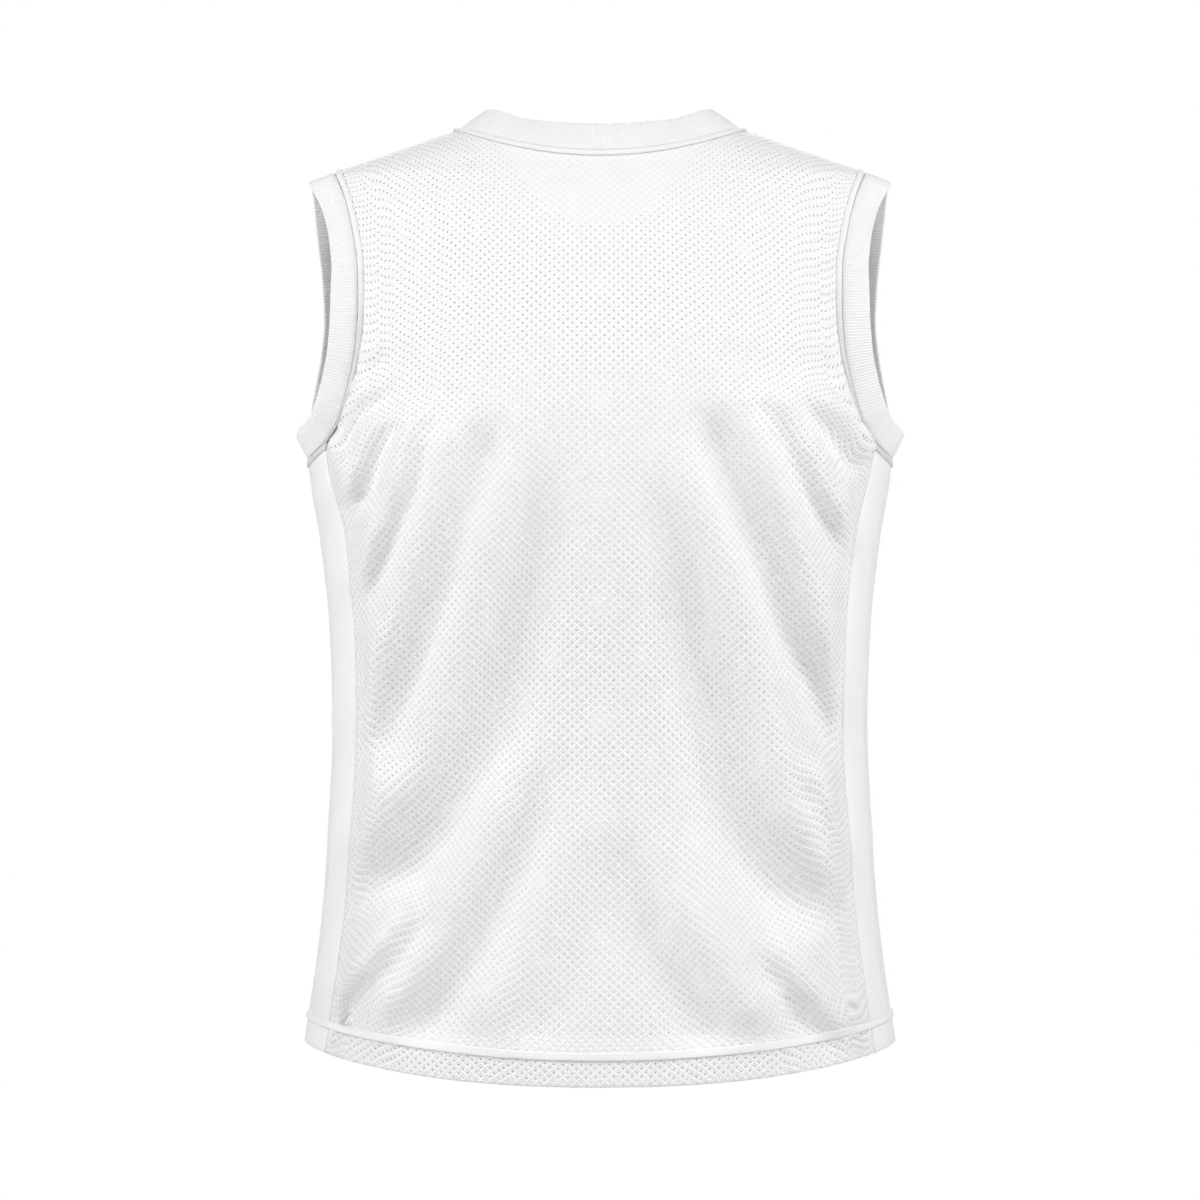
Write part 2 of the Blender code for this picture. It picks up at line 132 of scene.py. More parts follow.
# Smooth curve of a table's column against its first, which never swings past its points
def curveThrough(rows, column):
    order = np.argsort([row[0] for row in rows])
    at = np.array([rows[k][0] for k in order], float)
    value = np.array([rows[k][column] for k in order], float)
    step = np.diff(at)
    slope = np.diff(value) / step
    inner = [2 * a * b / (a + b) if a * b > 0 else 0.0 for a, b in zip(slope[:-1], slope[1:])]
    slope = np.array([slope[0], *inner, slope[-1]])

    def curve(t):
        t = np.clip(t, at[0], at[-1])
        i = np.clip(np.searchsorted(at, t, side="right") - 1, 0, len(at) - 2)
        h = at[i + 1] - at[i]
        s = (t - at[i]) / h
        return ((1 + 2 * s) * (1 - s) ** 2 * value[i] + s * (1 - s) ** 2 * h * slope[i]
                + s * s * (3 - 2 * s) * value[i + 1] + s * s * (s - 1) * h * slope[i + 1])
    return curve


# Curves of the column for the back and of the next one, for the front
def bothCurves(rows, column):
    return {back: curveThrough(rows, column), front: curveThrough(rows, column + 1)}


halfWidth = curveThrough(body["sections"], 1)
depthOf = bothCurves(body["sections"], 2)
armholeX = bothCurves(armhole["edges"], 1)
seamShare = curveThrough(sideSeam, 1)
ridgeHeights = np.linspace(armhole["tipHeight"], 0.0, 400)
ridgeWidths = halfWidth(ridgeHeights)
hemShare = float(seamShare(hem["sideHeight"]))


def smooth(t):
    t = np.clip(t, 0, 1)
    return t * t * (3 - 2 * t)


def unit(vectors):
    return vectors / np.linalg.norm(vectors, axis=-1, keepdims=True)


# Distance from the start of a path to each of its points
def runAlong(points):
    steps = np.linalg.norm(np.diff(points, axis=0), axis=1)
    return np.concatenate([[0.0], np.cumsum(steps)])


# The back's value where facing is back, and the front's elsewhere
def onEither(facing, function, *values):
    return np.where(facing == back, function(*values, back), function(*values, front))


def depthAt(z, facing):
    return depthOf[facing](z)


def bodyY(x, z, facing):
    share = np.minimum(np.abs(x) / halfWidth(z), 1.0)
    return facing * depthAt(z, facing) * (1 - share ** body["power"]) ** (1 / body["power"])


def bodyNormal(x, y, z, facing):
    p = body["power"]
    low = np.maximum(z - 0.0005, body["sections"][-1][0])
    high = np.minimum(z + 0.0005, body["sections"][0][0])
    width, deep = halfWidth(z), depthAt(z, facing)
    widthRate = (halfWidth(high) - halfWidth(low)) / (high - low)
    deepRate = (depthAt(high, facing) - depthAt(low, facing)) / (high - low)
    across, along = np.abs(x) / width, np.abs(y) / deep
    return unit(np.stack([
        np.sign(x) * across ** (p - 1) / width,
        facing * along ** (p - 1) / deep,
        -across ** p / width * widthRate - along ** p / deep * deepRate], axis=-1))


# The way out from the body at points on it
def normalAt(points):
    x, y, z = np.moveaxis(points, -1, 0)
    return np.where(points[..., 1:2] < 0, bodyNormal(x, y, z, back), bodyNormal(x, y, z, front))


def ridgeHeight(x):
    return np.interp(np.abs(x), ridgeWidths[::-1], ridgeHeights[::-1])


def topHeight(x, facing):
    share = np.minimum(np.abs(x) / neck["halfWidth"], 1.0)
    neckHeight = -neck["drop"][facing] * (1 - share ** neck["bend"][facing])
    return np.where(np.abs(x) < neck["halfWidth"], neckHeight, ridgeHeight(x))


def hemHeight(share, facing):
    return hem["sideHeight"] - hem["drop"][facing] * (1 - np.abs(share) ** hem["bend"])


# Half width of a panel: to the armhole, and below it to the side seam
def edgeX(z, facing):
    return np.where(z >= armhole["underarm"], armholeX[facing](z), halfWidth(z) * seamShare(z))


def seamY(z, facing):
    return bodyY(edgeX(z, facing), z, facing)


# Folds: cloth is full along a fold's upper, outer side and drawn in along its lower, inner side
folds = {
    back: (
        # slope, half width at the top and foot in mm, fade at the top and foot, path in mm: (across, height)
        (1.25, 18, 23, 0.14, 0.16, ((-87, -207), (-103, -259), (-123, -331), (-136, -367), (-149, -403),
         (-162, -439), (-181, -486))),
        (1.00, 20, 30, 0.30, 0.12, ((-36, -201), (-54, -259), (-70, -331), (-79, -367), (-89, -403),
         (-99, -439), (-114, -475), (-136, -511), (-162, -547), (-189, -580))),
        (1.45, 11, 13, 0.14, 0.20, ((-123, -205), (-137, -259), (-152, -295), (-167, -331), (-186, -371))),
        (1.60, 10, 12, 0.30, 0.20, ((-142, -206), (-157, -234), (-170, -260), (-184, -292))),
        (1.40, 8, 9, 0.35, 0.20, ((-150, -190), (-162, -203), (-174, -215), (-185, -230), (-194, -252))),
        (0.80, 5, 6, 0.45, 0.45, ((-159, -162), (-165, -176), (-172, -192))),
        (1.05, 15, 21, 0.30, 0.14, ((-36, -446), (-49, -475), (-61, -511), (-77, -547), (-94, -583),
         (-116, -620), (-143, -656), (-159, -680))),
        (1.30, 12, 13, 0.30, 0.15, ((-116, -558), (-134, -583), (-162, -620), (-198, -656), (-212, -670))),
        (0.40, 20, 22, 0.35, 0.16, ((29, -490), (14, -511), (-11, -547), (-24, -583), (-40, -620),
         (-61, -656), (-72, -682))),
        (1.25, 17, 22, 0.14, 0.16, ((83, -199), (94, -222), (108, -259), (121, -295), (134, -331),
         (145, -367), (161, -403), (175, -439), (189, -475))),
        (1.35, 12, 14, 0.14, 0.20, ((116, -197), (130, -222), (150, -259), (170, -295), (193, -334))),
        (1.50, 10, 12, 0.30, 0.20, ((142, -193), (157, -216), (172, -231), (184, -246), (194, -264))),
        (0.80, 6, 7, 0.40, 0.40, ((164, -160), (170, -176), (175, -195), (182, -216))),
        (1.00, 19, 28, 0.40, 0.12, ((29, -215), (47, -259), (63, -295), (74, -331), (84, -367), (94, -403),
         (103, -439), (110, -475), (121, -511), (144, -547), (181, -589))),
        (0.85, 9, 12, 0.40, 0.20, ((136, -455), (154, -487), (168, -511), (180, -534), (190, -556))),
        (0.90, 17, 21, 0.50, 0.14, ((14, -504), (36, -547), (47, -583), (67, -620), (89, -656),
         (101, -680))),
        (1.05, 12, 13, 0.30, 0.15, ((108, -591), (128, -620), (157, -656), (181, -682))),
        (0.60, 9, 11, 0.40, 0.30, ((172, -555), (177, -583), (183, -620), (190, -655))),
        (0.35, 5, 6, 0.40, 0.50, ((178, -80), (150, -97))),
        (0.35, 5, 6, 0.40, 0.50, ((176, -100), (149, -119))),
        (0.30, 5, 6, 0.40, 0.50, ((175, -123), (150, -139))),
        (0.35, 5, 6, 0.40, 0.50, ((-172, -108), (-146, -124))),
    ),
    front: (
        (0.90, 17, 22, 0.30, 0.16, ((82, -190), (98, -260), (118, -330), (140, -400), (165, -455),
         (186, -500))),
        (0.90, 13, 14, 0.30, 0.22, ((118, -195), (134, -250), (156, -300), (182, -360))),
        (0.76, 19, 26, 0.45, 0.14, ((34, -240), (52, -320), (68, -390), (94, -460), (132, -520),
         (184, -570))),
        (0.81, 16, 21, 0.35, 0.16, ((36, -460), (58, -520), (84, -580), (122, -640), (146, -672))),
        (0.40, 20, 22, 0.35, 0.16, ((-10, -500), (8, -550), (22, -600), (46, -665))),
        (0.94, 16, 21, 0.28, 0.16, ((-78, -200), (-92, -260), (-114, -330), (-134, -390), (-160, -440),
         (-188, -490))),
        (0.86, 13, 13, 0.30, 0.22, ((-116, -190), (-130, -240), (-152, -290), (-186, -345))),
        (0.81, 19, 26, 0.50, 0.14, ((-30, -230), (-46, -300), (-66, -370), (-90, -440), (-122, -510),
         (-182, -572))),
        (0.72, 12, 14, 0.35, 0.22, ((-120, -520), (-142, -560), (-168, -600), (-196, -640))),
        (0.76, 16, 20, 0.35, 0.16, ((-40, -490), (-62, -550), (-86, -610), (-112, -668))),
    ),
}
foldHold = {
    "outer": 1.15,          # how much wider the full side is than the drawn-in side
    "armholeReach": 0.010,  # the ribs hold the cloth smooth this far in
    "underReach": 0.040,    # below the underarm, where the side seams' hold takes over
    "seamReach": 0.016,
    "seamShare": 0.42,      # how much of a fold is left at a side seam
    "straightFrom": 0.5,    # share of the width where a fold's lift begins to turn straight
    "straightOver": 0.4,
    "hemReach": 0.050,
    "hemShare": 0.35,       # how much is left at the hem
}


def foldRoute(path, points=40):
    path = np.array(path) / 1000
    run = runAlong(path)
    rows = [(r, *p) for r, p in zip(run, path)]
    along = np.linspace(0, run[-1], points)
    return np.stack([curveThrough(rows, 1)(along), curveThrough(rows, 2)(along)], 1), along / run[-1]


foldRoutes = {facing: [foldRoute(row[5]) for row in table] for facing, table in folds.items()}


# Distance of points below a fold's line, and how far down the fold they are
def offRoute(x, z, route):
    points, share = route
    nearest = np.full(x.shape, 1e9)
    off, along = np.zeros(x.shape), np.zeros(x.shape)
    below = 1.0 if points[-1][0] < points[0][0] else -1.0
    for k in range(len(points) - 1):
        step = points[k + 1] - points[k]
        length = math.hypot(*step)
        dx, dz = x - points[k][0], z - points[k][1]
        t = np.clip((dx * step[0] + dz * step[1]) / length ** 2, 0, 1)
        distance = np.hypot(dx - t * step[0], dz - t * step[1])
        side = np.sign(below * (step[0] * dz - step[1] * dx))
        closer = distance < nearest
        nearest = np.where(closer, distance, nearest)
        off = np.where(closer, side * distance, off)
        along = np.where(closer, share[k] + t * (share[k + 1] - share[k]), along)
    return off, along


# How far the side seams' hold has set in: 0 beside the armholes, 1 well below them
def belowArmhole(z):
    return smooth((armhole["underarm"] - z) / foldHold["underReach"])


def foldHeight(x, z, facing):
    total = np.zeros(x.shape)
    for row, route in zip(folds[facing], foldRoutes[facing]):
        slope, topSpread, footSpread, topFade, footFade = np.array(row[:5]) / (1, 1000, 1000, 1, 1)
        off, along = offRoute(x, z, route)
        spread = topSpread + (footSpread - topSpread) * along
        spread = np.where(off < 0, spread * foldHold["outer"], spread / foldHold["outer"])
        fade = smooth(along / topFade) * smooth((1 - along) / footFade)
        total -= slope * fade * off * np.exp(-0.5 * (off / spread) ** 2)
    room, under = edgeX(z, facing) - np.abs(x), belowArmhole(z)
    atSeam, atHem = foldHold["seamShare"], foldHold["hemShare"]
    held = (1 - under) * smooth(room / foldHold["armholeReach"])
    held += under * (atSeam + (1 - atSeam) * smooth(room / foldHold["seamReach"]))
    overHem = z - (hem["sideHeight"] - 0.6 * hem["drop"][facing])
    return total * held * (atHem + (1 - atHem) * smooth(overHem / foldHold["hemReach"]))


# The way a fold lifts: straight back or forward beside a side seam, so that the seam hangs as a smooth line
def foldWay(normal, share, z):
    beside = smooth((np.abs(share) - foldHold["straightFrom"]) / foldHold["straightOver"])
    straight = beside * belowArmhole(z)
    way = unit(normal * np.stack([1 - straight, np.ones_like(straight), np.ones_like(straight)], -1))
    return way / np.maximum((way * normal).sum(axis=-1, keepdims=True), 0.6)


def topAcross(share):
    corner = neck["cornerShare"]
    onNeck = neck["halfWidth"] * np.sin(np.minimum(np.abs(share) / corner, 1) * math.pi / 2)
    onShoulder = np.clip((np.abs(share) - corner) / (1 - corner), 0, 1)
    onShoulder = neck["halfWidth"] + (armhole["tipWidth"] - neck["halfWidth"]) * onShoulder
    return np.sign(share) * np.where(np.abs(share) < corner, onNeck, onShoulder)


hemCorner = {facing: float(hemHeight(hemShare, facing)) for facing in (back, front)}


# Point and outward direction on a front or back panel: share runs -1 to 1 across, edge is the row's height
# where it meets the panel's edge
def panelPlace(share, edge, facing):
    bottom = hemCorner[facing]
    v = (edge - bottom) / (armhole["tipHeight"] - bottom)
    top = topAcross(share)
    x = (share + (top / armhole["tipWidth"] - share) * smooth(v)) * edgeX(edge, facing)
    low = hemHeight(share * hemShare, facing) - bottom
    high = topHeight(top, facing) - armhole["tipHeight"]
    z = edge + (1 - v) * low + v * high
    x = np.sign(x) * np.minimum(np.abs(x), edgeX(edge, facing) - seam["gap"] / 2)
    y = facing * np.maximum(np.abs(bodyY(x, z, facing)), seam["gap"] / 2)
    normal = bodyNormal(x, y, z, facing)
    lift = foldHeight(x, z, facing)[..., None] * foldWay(normal, share, z)
    return np.stack([x, y, z], -1) + lift, normal


# Thin creases across a side panel, from the seams to its middle
sideCreases = (
    # height, half width, share and height of the upper end, of the lower end
    (0.0011, 0.0030, -0.92, -0.285, -0.50, -0.345),
    (0.0009, 0.0028, -0.85, -0.395, -0.42, -0.480),
    (0.0012, 0.0034, -0.93, -0.490, -0.46, -0.600),
    (0.0008, 0.0030, -0.80, -0.600, -0.45, -0.655),
    (0.0010, 0.0030, 0.90, -0.300, 0.44, -0.365),
    (0.0009, 0.0032, 0.88, -0.430, 0.50, -0.510),
    (0.0011, 0.0032, 0.92, -0.530, 0.48, -0.625),
)
creaseShift = 0.009         # how much higher they lie on the left side, and lower on the right
sideReach = 0.065           # from a side panel's middle to its seam


def creaseHeight(share, z):
    total = np.zeros(np.shape(z))
    for height, halfSpread, topShare, topZ, footShare, footZ in sideCreases:
        run = np.array(((footShare - topShare) * sideReach, footZ - topZ))
        length = math.hypot(*run)
        across, down = (share - topShare) * sideReach, z - topZ
        along = (across * run[0] + down * run[1]) / length ** 2
        off = (across * run[1] - down * run[0]) / length
        fade = smooth(along / 0.3) * smooth((1 - along) / 0.4)
        total += height * fade * np.exp(-0.5 * (off / halfSpread) ** 2)
    return total


sideForm = {
    "hemBlend": (-0.60, 0.05),  # from where, and over how much, its front seam drops or rises to the hem's
    "underBend": 2.4,
    "plainShare": 0.15,         # share of the way to a seam that the seam's folds don't reach
}


# Point and outward direction on a side panel: share runs -1 to 1 from the back seam to the front seam
def sidePlace(share, edge, side, gap=seam["gap"] / 2):
    facing = np.where(share < 0, back, front)
    hemSeam = np.where(facing == back, hemCorner[back], hemCorner[front])
    blendFrom, blendOver = sideForm["hemBlend"]
    seamZ = edge + smooth((blendFrom - edge) / blendOver) * (hemSeam - hemCorner[back])
    y = share * (np.abs(onEither(facing, seamY, seamZ)) - gap)
    p = body["power"]
    around = (1 - np.minimum(np.abs(y) / onEither(facing, depthAt, seamZ), 1) ** p) ** (1 / p)
    v = (seamZ - hemSeam) / (armhole["underarm"] - hemSeam)
    low = onEither(facing, hemHeight, around) - hemSeam
    high = (armhole["bottom"] - armhole["underarm"]) * (1 - np.abs(share) ** sideForm["underBend"])
    z = seamZ + (1 - v) * low + v * high
    x = side * halfWidth(z) * (1 - (np.abs(y) / onEither(facing, depthAt, z)) ** p) ** (1 / p)
    points = np.stack([x, y, z], -1)
    normal = normalAt(points)
    atSeam = onEither(facing, foldHeight, onEither(facing, edgeX, seamZ) * side, seamZ)
    plain = sideForm["plainShare"]
    fold = atSeam * smooth((np.abs(share) - plain) / (1 - plain))
    lift = fold[..., None] * foldWay(normal, share, z)
    lift = lift + creaseHeight(share, z + creaseShift * side)[..., None] * normal
    return points + lift, normal


def moveTo(mesh, points):
    for vert, point in zip(mesh.verts, points):
        vert.co = point


def addObject(name, data):
    made = bpy.data.objects.new(name, data)
    bpy.context.collection.objects.link(made)
    return made


def addPiece(name, mesh, nodes, material):
    bmesh.ops.recalc_face_normals(mesh, faces=mesh.faces[:])
    data = bpy.data.meshes.new(name)
    mesh.to_mesh(data)
    mesh.free()
    data.shade_smooth()
    data.materials.append(material)
    piece = addObject(name, data)
    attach(piece, "root")
    if nodes:
        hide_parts(*nodes)
    print(name, len(data.polygons), "faces")
    return piece


# Front and back cloth: a net of small cells, each with a hole
netCloth = {
    "cells": 216,           # each way in the grid that the net is cut from
    "cellAcross": 0.00665,
    "cellDown": 0.0061,
    "holeRadius": 0.00062,
    "neckHole": 0.00042,    # drawn nearly closed beside the collar
    "neckReach": 0.08,
    "holeInset": 0.0012,
    "sink": 0.00022,        # how far a cell's hole lies under the net around it
    "hang": 0.00015,        # and below its middle
    "lineShare": 0.15,      # half width of a raised net line, of the way to the next
    "lineHeight": 0.00035,
    "trim": 0.0004,         # least room between the whole cells and the rolled edge
    "columns": 96,
    "rows": 150,
    "ridgeRows": 24,
    "ridgeDepth": 0.03,     # below the shoulder tips, where the closer rows begin
    "levelHeight": -0.35,   # the net's rows are level here
}


# Materials
cloth = {
    "netLine": (0.94, 0.94, 0.945),     # raised lines of the mesh
    "cell": (0.885, 0.885, 0.89),       # the cells between the lines, painted darker than them: painted shade in the hollows
    "topShadeLine": (0.88, 0.88, 0.885),    # both again over the upper back, darker and closer together: painted shade to hold down the strong light there
    "topShadeCell": (0.868, 0.868, 0.873),
    "topShadeFrom": -0.30,                  # heights where the upper back's painted shade begins and is full
    "topShadeTo": -0.17,
    "ring": (0.60, 0.60, 0.605),        # painted shade round the holes
    "holeShadeInner": 0.10,                  # its radii, as shares of a cell
    "holeShadeOuter": 0.17,
    "smooth": (0.87, 0.87, 0.875),      # side panels, tapes and thread
    "rib": (0.86, 0.86, 0.865),
    "tapeLowShade": (0.66, 0.66, 0.665),     # painted shade on the armhole tapes, lower down where they lie deep
    "tapeEdgeShadow": (0.60, 0.60, 0.605),    # painted shadow along a tape's edge that faces down
    "roughness": 0.62,
    "sheen": 0.15,
}


# Each input of a node takes a value or another node's output
def feed(tree, node, inputs):
    for slot, value in inputs.items():
        if isinstance(value, bpy.types.NodeSocket):
            tree.links.new(value, node.inputs[slot])
        else:
            node.inputs[slot].default_value = value


def addNode(tree, kind, inputs):
    node = tree.nodes.new("ShaderNode" + kind)
    feed(tree, node, inputs)
    return node


def newMaterial(name, colour):
    material = bpy.data.materials.new(name)
    material.use_nodes = True
    shader = material.node_tree.nodes["Principled BSDF"]
    feed(material.node_tree, shader, {
        "Base Color": (*colour, 1), "Roughness": cloth["roughness"], "Specular IOR Level": 0.3,
        "Sheen Weight": cloth["sheen"], "Sheen Roughness": 0.5})
    return material, material.node_tree, shader


def mathNode(tree, operation, *values, clamp=False):
    node = addNode(tree, "Math", dict(enumerate(values)))
    node.operation = operation
    node.use_clamp = clamp
    return node.outputs[0]


def mixColours(tree, factor, first, second):
    mix = addNode(tree, "Mix", {"Factor": factor})
    mix.data_type = "RGBA"
    colours = [(*colour, 1) if isinstance(colour, tuple) else colour for colour in (first, second)]
    feed(tree, mix, {6: colours[0], 7: colours[1]})
    return mix.outputs[2]


def rampNode(tree, value, start, end):
    ramp = addNode(tree, "MapRange", {"Value": value, "From Min": start, "From Max": end})
    ramp.interpolation_type = "SMOOTHSTEP"
    return ramp.outputs[0]


def partOf(tree, vector, axis):
    return addNode(tree, "SeparateXYZ", {0: vector}).outputs[axis]


def objectPlace(tree):
    return addNode(tree, "TexCoord", {}).outputs["Object"]


def uvPlace(tree, name):
    uv = addNode(tree, "UVMap", {})
    uv.uv_map = name
    return uv.outputs["UV"]


def noiseNode(tree, vector, scale, detail):
    return addNode(tree, "TexNoise", {"Vector": vector, "Scale": scale, "Detail": detail}).outputs[0]


def addBump(tree, shader, height, strength, distance):
    bump = addNode(tree, "Bump", {"Height": height, "Strength": strength, "Distance": distance})
    feed(tree, shader, {"Normal": bump.outputs["Normal"]})


def meshKnitMaterial():
    material, tree, shader = newMaterial("meshKnit", cloth["cell"])

    # raised lines of the net, with painted shade in the cells between them; over the upper back both tones
    # are painted darker and closer together, and the relief is weaker
    lattice = uvPlace(tree, "lattice")
    away = [mathNode(tree, "PINGPONG", partOf(tree, lattice, axis), 0.5) for axis in ("X", "Y")]
    nearest = mathNode(tree, "MINIMUM", *away)
    slack = mathNode(tree, "MULTIPLY", nearest, 1 / netCloth["lineShare"])
    line = mathNode(tree, "SQRT", mathNode(tree, "SUBTRACT", 1.0, slack, clamp=True))
    # painted shade over the upper back, where the lamps light it most: how far it has set in, by height
    upperBack = rampNode(tree, partOf(tree, objectPlace(tree), "Z"), cloth["topShadeFrom"], cloth["topShadeTo"])
    cell = mixColours(tree, upperBack, cloth["cell"], cloth["topShadeCell"])
    raised = mixColours(tree, upperBack, cloth["netLine"], cloth["topShadeLine"])
    knit = mixColours(tree, line, cell, raised)

    # painted shade: a darker ring round each hole
    fromMiddle = [mathNode(tree, "SUBTRACT", 0.5, part) for part in away]
    squares = [mathNode(tree, "MULTIPLY", part, part) for part in fromMiddle]
    inner, outer = cloth["holeShadeInner"] ** 2, cloth["holeShadeOuter"] ** 2
    ring = rampNode(tree, mathNode(tree, "ADD", *squares), inner, outer)
    feed(tree, shader, {"Base Color": mixColours(tree, ring, cloth["ring"], knit)})

    # relief: the lines, a hollow in each cell, and fibres
    bowl = mathNode(tree, "SUBTRACT", 1.0, mathNode(tree, "MULTIPLY", nearest, 2.0))
    bowl = mathNode(tree, "MULTIPLY", mathNode(tree, "POWER", bowl, 2.0), 0.6)
    relief = mathNode(tree, "ADD", line, bowl)
    relief = mathNode(tree, "MULTIPLY", relief, mathNode(tree, "SUBTRACT", 1.2, upperBack))
    fibres = mathNode(tree, "MULTIPLY", noiseNode(tree, lattice, 5.0, 4.0), 0.3)
    addBump(tree, shader, mathNode(tree, "ADD", relief, fibres), 0.8, netCloth["lineHeight"])
    return material


def plainKnitMaterial(name, colour, scale=900.0, strength=0.25):
    material, tree, shader = newMaterial(name, colour)
    addBump(tree, shader, noiseNode(tree, objectPlace(tree), scale, 3.0), strength, 0.0003)
    return material


# Tape: painted shade where it lies deep between the rib and the panel, and a painted shadow along the edge
# that faces down
def tapeMaterial(name, low, edgeFrom, edgeTo):
    material = plainKnitMaterial(name, cloth["smooth"])
    tree, under = material.node_tree, armhole["underarm"]
    # painted shade lower down, where the tape lies deep between the rib and the panel
    up = rampNode(tree, partOf(tree, objectPlace(tree), "Z"), under + 0.06, under + 0.14)
    colour = mixColours(tree, up, low, cloth["smooth"])
    # painted shadow along the edge that faces down
    edge = rampNode(tree, partOf(tree, uvPlace(tree, "weave"), "Y"), edgeFrom, edgeTo)
    colour = mixColours(tree, edge, colour, cloth["tapeEdgeShadow"])
    feed(tree, tree.nodes["Principled BSDF"], {"Base Color": colour})
    return material


meshKnit = meshKnitMaterial()
plainKnit = plainKnitMaterial("plainKnit", cloth["smooth"])
# collar and hem tapes take only the painted shadow along their lower edge; the armhole tapes also take the
# painted shade lower down
collarTape = tapeMaterial("collarTape", cloth["smooth"], 0.74, 0.90)
armholeTape = tapeMaterial("armholeTape", cloth["tapeLowShade"], 0.90, 1.20)
hemTape = tapeMaterial("hemTape", cloth["smooth"], 0.26, 0.10)
ribKnit = plainKnitMaterial("ribKnit", cloth["rib"], 1200.0, 0.3)
thread = plainKnitMaterial("thread", cloth["smooth"], 2500.0, 0.2)


# Heights of a panel's rows on its edge, closer together where it rounds over the shoulder
def panelRows(facing):
    tip, depth = armhole["tipHeight"], netCloth["ridgeDepth"]
    even = np.linspace(hemCorner[facing], tip - depth, netCloth["rows"])
    ridge = tip - depth * np.linspace(1, 0, netCloth["ridgeRows"]) ** 2.2
    return np.concatenate([even, ridge[1:]])


def crossOf(first, second):
    return first[:, 0] * second[:, 1] - first[:, 1] * second[:, 0]


# The panel's flat cut: arc lengths across and down the form, with the share and edge height at each point
def flatPattern(facing):
    edges = panelRows(facing)
    share, edge = np.meshgrid(np.linspace(-1, 1, netCloth["columns"] + 1), edges)
    points, _ = panelPlace(share, edge, facing)
    last, top, middle = netCloth["columns"], len(edges) - 1, netCloth["columns"] // 2
    across = np.array([runAlong(row) for row in points])
    across -= across[:, [middle]]
    down = np.array([runAlong(points[:, i]) for i in range(last + 1)]).T
    for i in range(last + 1):
        down[:, i] -= np.interp(netCloth["levelHeight"], points[:, i, 2], down[:, i])
    grid = np.stack([across, down], -1)
    flat = grid.reshape(-1, 2)

    count = last + 1
    k = (np.arange(top)[:, None] * count + np.arange(last)).ravel()
    triangles = np.stack([k, k + 1, k + count + 1, k, k + count + 1, k + count], 1).reshape(-1, 3)
    a, b, c = (flat[triangles[:, spot]] for spot in range(3))

    # the outline runs along the hem, up the +X edge, back over the top and down the other edge
    rim = [(0, i) for i in range(last)] + [(j, last) for j in range(top)]
    rim += [(top, i) for i in range(last, 0, -1)] + [(j, 0) for j in range(top, 0, -1)]
    under = int(np.argmin(np.abs(edges - armhole["underarm"])))
    neckEnd = int(round((1 - neck["cornerShare"]) / 2 * last))
    corners = [(0, 0), (0, last), (under, last), (top, last), (top, last - neckEnd), (top, neckEnd),
               (top, 0), (under, 0)]
    return {
        "flat": flat, "share": share.ravel(), "edge": edge.ravel(), "triangles": triangles,
        "outline": np.array([grid[spot] for spot in rim]),
        "corners": np.array([grid[spot] for spot in corners]),
        "area": 0.5 * np.abs(crossOf(b - a, c - a)).sum(), "crown": float(grid[top, middle, 1]),
    }


def insideOutline(points, outline):
    inside = np.zeros(len(points), bool)
    for a, b in zip(outline, np.roll(outline, -1, axis=0)):
        crosses = (a[1] > points[:, 1]) != (b[1] > points[:, 1])
        if crosses.any():
            at = a[0] + (points[:, 1] - a[1]) / (b[1] - a[1] + 1e-30) * (b[0] - a[0])
            inside ^= crosses & (points[:, 0] < at)
    return inside


# Nearest point of the outline to each point: the distance to it, and its length along the outline
def nearestOutline(points, outline):
    best, along = np.full(len(points), 1e9), np.zeros(len(points))
    covered = 0.0
    for start, end in zip(outline, np.roll(outline, -1, axis=0)):
        step = end - start
        length = math.hypot(*step)
        if length < 1e-9:
            continue
        share = np.clip(((points - start) @ step) / length ** 2, 0, 1)
        distance = np.linalg.norm(points - start - share[:, None] * step, axis=1)
        along = np.where(distance < best, covered + share * length, along)
        best = np.minimum(distance, best)
        covered += length
    return best, along


# Points at lengths along the outline, with the way in from there
def outlineAt(along, outline):
    steps = np.roll(outline, -1, axis=0) - outline
    starts = runAlong(np.vstack([outline, outline[:1]]))
    lengths = np.diff(starts)
    along = np.mod(along, starts[-1])
    part = np.clip(np.searchsorted(starts, along, side="right") - 1, 0, len(outline) - 1)
    way = steps[part] / np.maximum(lengths[part], 1e-12)[:, None]
    return outline[part] + way * (along - starts[part])[:, None], np.stack([-way[:, 1], way[:, 0]], -1)


# Vertices of the one loop that the edges make, in order
def inOrder(edges):
    beside = {}
    for edge in edges:
        first, second = edge.verts
        beside.setdefault(first, []).append(second)
        beside.setdefault(second, []).append(first)
    before = edges[0].verts[0]
    loop = [before, beside[before][0]]
    while len(loop) < len(beside):
        loop.append(next(vert for vert in beside[loop[-1]] if vert is not loop[-2]))
    return loop


# The grid of diamond cells, laid level over the middle of the cut
def netGrid(outline):
    net = bmesh.new()
    cells = netCloth["cells"]
    bmesh.ops.create_grid(net, x_segments=cells, y_segments=cells, size=cells / 2)
    bmesh.ops.rotate(net, verts=net.verts[:], cent=(0, 0, 0), matrix=Matrix.Rotation(math.pi / 4, 3, "Z"))
    bmesh.ops.scale(net, verts=net.verts[:], vec=(netCloth["cellAcross"] / math.sqrt(2),
                                                  netCloth["cellDown"] / math.sqrt(2), 1))
    middle = (outline.min(axis=0) + outline.max(axis=0)) / 2
    rows = round(middle[1] / netCloth["cellDown"])
    bmesh.ops.translate(net, verts=net.verts[:], vec=(0, rows * netCloth["cellDown"], 0))
    return net


